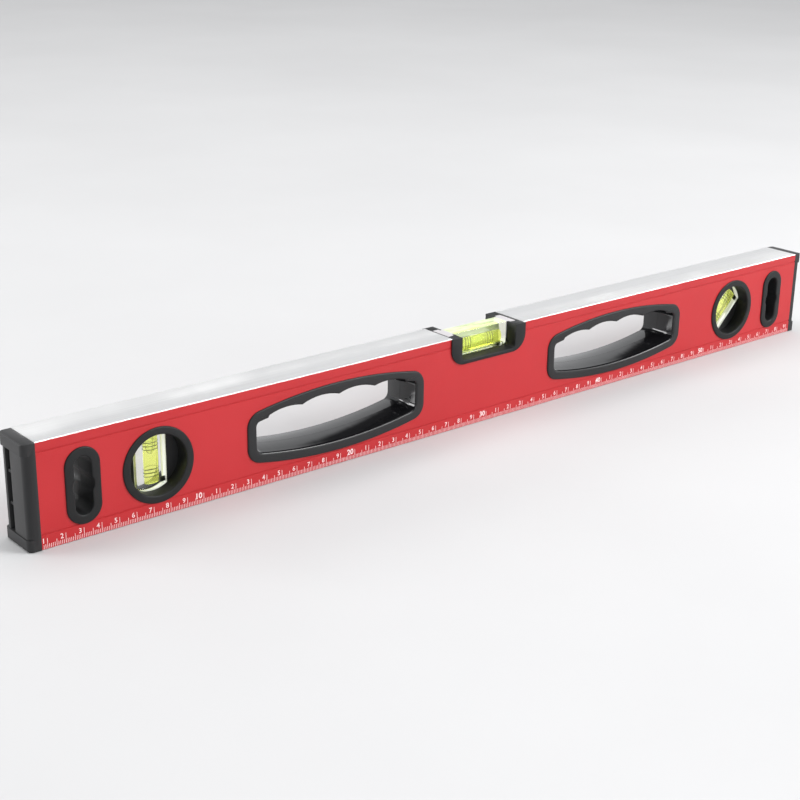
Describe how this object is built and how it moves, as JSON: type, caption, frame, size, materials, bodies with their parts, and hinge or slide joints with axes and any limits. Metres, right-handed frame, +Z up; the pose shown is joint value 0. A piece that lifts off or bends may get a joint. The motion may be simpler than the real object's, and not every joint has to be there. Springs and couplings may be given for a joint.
{
  "type": "spirit level",
  "caption": "Box-beam spirit level with top, plumb and 45 degree tube vials, scalloped hand grips, hang slots, an edge ruler and rubber end caps.",
  "frame": {"origin": "middle of the bottom measuring face", "axes": "+X along the beam towards the 45 degree vial, +Y through the thickness away from the ruled face, +Z up out of the top measuring face"},
  "size_m": [0.6, 0.0272, 0.057],
  "materials": {
    "painted_beam": "satin red paint on the two faces, bare milled aluminium on top and bottom",
    "rubber": "matte",
    "satin_black": "satin",
    "gloss_black": "satin flange, glossy inside the opening",
    "acrylic": "polished clear acrylic",
    "fluid": "clear lime-yellow fluid",
    "line_print": "printed rings",
    "seal": "matte",
    "air": "clear"
  },
  "bodies": {
    "level": {"beam_profile": "painted_beam", "left_cap_bumper": "rubber", "left_cap_plug": "satin_black", "right_cap_bumper": "rubber", "right_cap_plug": "satin_black", "left_hang_grommet_front": "satin_black", "left_hang_grommet_rear": "satin_black", "right_hang_grommet_front": "satin_black", "right_hang_grommet_rear": "satin_black", "left_grip_front": "gloss_black", "left_grip_rear": "gloss_black", "right_grip_front": "gloss_black", "right_grip_rear": "gloss_black", "plumb_housing_front": "satin_black", "plumb_housing_rear": "satin_black", "plumb_vial_block": "acrylic", "plumb_vial_fluid": "fluid", "plumb_vial_lines": "line_print", "plumb_vial_plug": "seal", "angle_housing_front": "satin_black", "angle_housing_rear": "satin_black", "angle_vial_block": "acrylic", "angle_vial_fluid": "fluid", "angle_vial_lines": "line_print", "angle_vial_plug": "seal", "centre_frame": "satin_black", "centre_vial_block": "acrylic", "centre_vial_fluid": "fluid", "centre_vial_lines": "line_print", "centre_vial_plug": "seal"},
    "plumb_bubble": {"plumb_bubble": "air"},
    "angle_bubble": {"angle_bubble": "air"},
    "centre_bubble": {"centre_bubble": "air"}
  },
  "joints": [
    {"name": "plumb_bubble_slide", "type": "slide", "parent": "level", "child": "plumb_bubble", "axis": [0, 0, -1], "range_m": [0, 0.015], "stiffness_N_per_m": 4},
    {"name": "angle_bubble_slide", "type": "slide", "parent": "level", "child": "angle_bubble", "axis": [-0.7071, 0, -0.7071], "range_m": [0, 0.015], "stiffness_N_per_m": 4},
    {"name": "centre_bubble_slide", "type": "slide", "parent": "level", "child": "centre_bubble", "axis": [1, 0, 0], "range_m": [-0.012, 0.012], "stiffness_N_per_m": 4}
  ]
}
